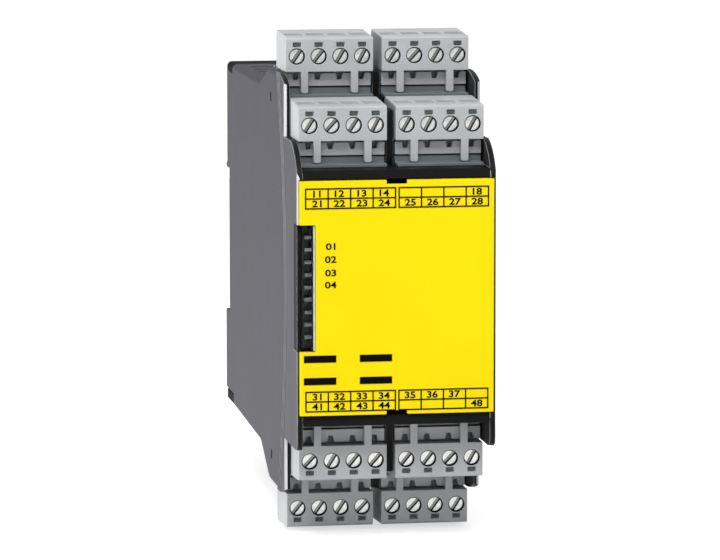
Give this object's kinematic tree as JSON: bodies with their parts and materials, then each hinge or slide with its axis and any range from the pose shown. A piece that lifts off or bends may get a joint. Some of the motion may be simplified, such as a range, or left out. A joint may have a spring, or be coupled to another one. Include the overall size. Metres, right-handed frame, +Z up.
{
  "type": "safety relay",
  "caption": "Rail-mounted safety relay in a slim dark housing, with pull-off screw terminals above and below a yellow front cover and an indicator window at its left edge.",
  "frame": {"origin": "middle of the face that seats on the mounting rail", "axes": "+X to the right across the front, +Y from the front panel back to the rail, +Z up"},
  "size_m": [0.045, 0.1209, 0.114],
  "materials": {
    "housing_grey": "fine matt texture, dark grey",
    "front_black": "satin black",
    "strip_black": "satin black",
    "cover_yellow": "smooth bright yellow",
    "print_black": "flat black print",
    "guide_black": "gloss black",
    "window_clear": "clear moulded plastic",
    "latch_black": "satin black",
    "spring_steel": "bright drawn wire",
    "board_green": "solder resist",
    "relay_case": "smooth white moulding",
    "transformer_case": "potted black case",
    "capacitor_case": "sleeved can",
    "plug_grey": "fine satin light grey",
    "header_grey": "fine satin light grey",
    "screw_steel": "zinc plated",
    "cage_steel": "plated",
    "pin_tin": "tinned"
  },
  "bodies": {
    "housing": {"rear_housing": "housing_grey", "front_housing": "front_black", "rear_strip": "strip_black", "light_guide": "guide_black", "light_window": "window_clear", "latch_spring": "spring_steel", "main_board": "board_green", "relay_1": "relay_case", "relay_2": "relay_case", "transformer": "transformer_case", "capacitor": "capacitor_case", "lamp_board": "board_green", "row_board_upper_rear": "board_green", "row_board_upper_front": "board_green", "row_board_lower_front": "board_green", "row_board_lower_rear": "board_green", "header_upper_rear_left": "header_grey", "pins_upper_rear_left": "pin_tin", "header_upper_rear_right": "header_grey", "pins_upper_rear_right": "pin_tin", "header_upper_front_left": "header_grey", "pins_upper_front_left": "pin_tin", "header_upper_front_right": "header_grey", "pins_upper_front_right": "pin_tin", "header_lower_front_left": "header_grey", "pins_lower_front_left": "pin_tin", "header_lower_front_right": "header_grey", "pins_lower_front_right": "pin_tin", "header_lower_rear_left": "header_grey", "pins_lower_rear_left": "pin_tin", "header_lower_rear_right": "header_grey", "pins_lower_rear_right": "pin_tin"},
    "cover": {"front_cover": "cover_yellow", "label_print": "print_black"},
    "latch": {"foot_latch": "latch_black"},
    "plug_upper_rear_left": {"plug_upper_rear_left": "plug_grey", "screws_upper_rear_left": "screw_steel", "cages_upper_rear_left": "cage_steel"},
    "plug_upper_rear_right": {"plug_upper_rear_right": "plug_grey", "screws_upper_rear_right": "screw_steel", "cages_upper_rear_right": "cage_steel"},
    "plug_upper_front_left": {"plug_upper_front_left": "plug_grey", "screws_upper_front_left": "screw_steel", "cages_upper_front_left": "cage_steel"},
    "plug_upper_front_right": {"plug_upper_front_right": "plug_grey", "screws_upper_front_right": "screw_steel", "cages_upper_front_right": "cage_steel"},
    "plug_lower_front_left": {"plug_lower_front_left": "plug_grey", "screws_lower_front_left": "screw_steel", "cages_lower_front_left": "cage_steel"},
    "plug_lower_front_right": {"plug_lower_front_right": "plug_grey", "screws_lower_front_right": "screw_steel", "cages_lower_front_right": "cage_steel"},
    "plug_lower_rear_left": {"plug_lower_rear_left": "plug_grey", "screws_lower_rear_left": "screw_steel", "cages_lower_rear_left": "cage_steel"},
    "plug_lower_rear_right": {"plug_lower_rear_right": "plug_grey", "screws_lower_rear_right": "screw_steel", "cages_lower_rear_right": "cage_steel"}
  },
  "joints": [
    {"name": "cover_pull", "type": "slide", "parent": "housing", "child": "cover", "axis": [0, -1, 0], "range_m": [0, 0.008]},
    {"name": "latch_slide", "type": "slide", "parent": "housing", "child": "latch", "axis": [0, 0, -1], "range_m": [0, 0.003], "stiffness_N_per_m": 800, "springref_m": -0.001, "deforming": ["latch_spring"]},
    {"name": "pull_upper_rear_left", "type": "slide", "parent": "housing", "child": "plug_upper_rear_left", "axis": [0, -1, 0], "range_m": [0, 0.01]},
    {"name": "pull_upper_rear_right", "type": "slide", "parent": "housing", "child": "plug_upper_rear_right", "axis": [0, -1, 0], "range_m": [0, 0.01]},
    {"name": "pull_upper_front_left", "type": "slide", "parent": "housing", "child": "plug_upper_front_left", "axis": [0, -1, 0], "range_m": [0, 0.01]},
    {"name": "pull_upper_front_right", "type": "slide", "parent": "housing", "child": "plug_upper_front_right", "axis": [0, -1, 0], "range_m": [0, 0.01]},
    {"name": "pull_lower_front_left", "type": "slide", "parent": "housing", "child": "plug_lower_front_left", "axis": [0, -1, 0], "range_m": [0, 0.01]},
    {"name": "pull_lower_front_right", "type": "slide", "parent": "housing", "child": "plug_lower_front_right", "axis": [0, -1, 0], "range_m": [0, 0.01]},
    {"name": "pull_lower_rear_left", "type": "slide", "parent": "housing", "child": "plug_lower_rear_left", "axis": [0, -1, 0], "range_m": [0, 0.01]},
    {"name": "pull_lower_rear_right", "type": "slide", "parent": "housing", "child": "plug_lower_rear_right", "axis": [0, -1, 0], "range_m": [0, 0.01]}
  ]
}
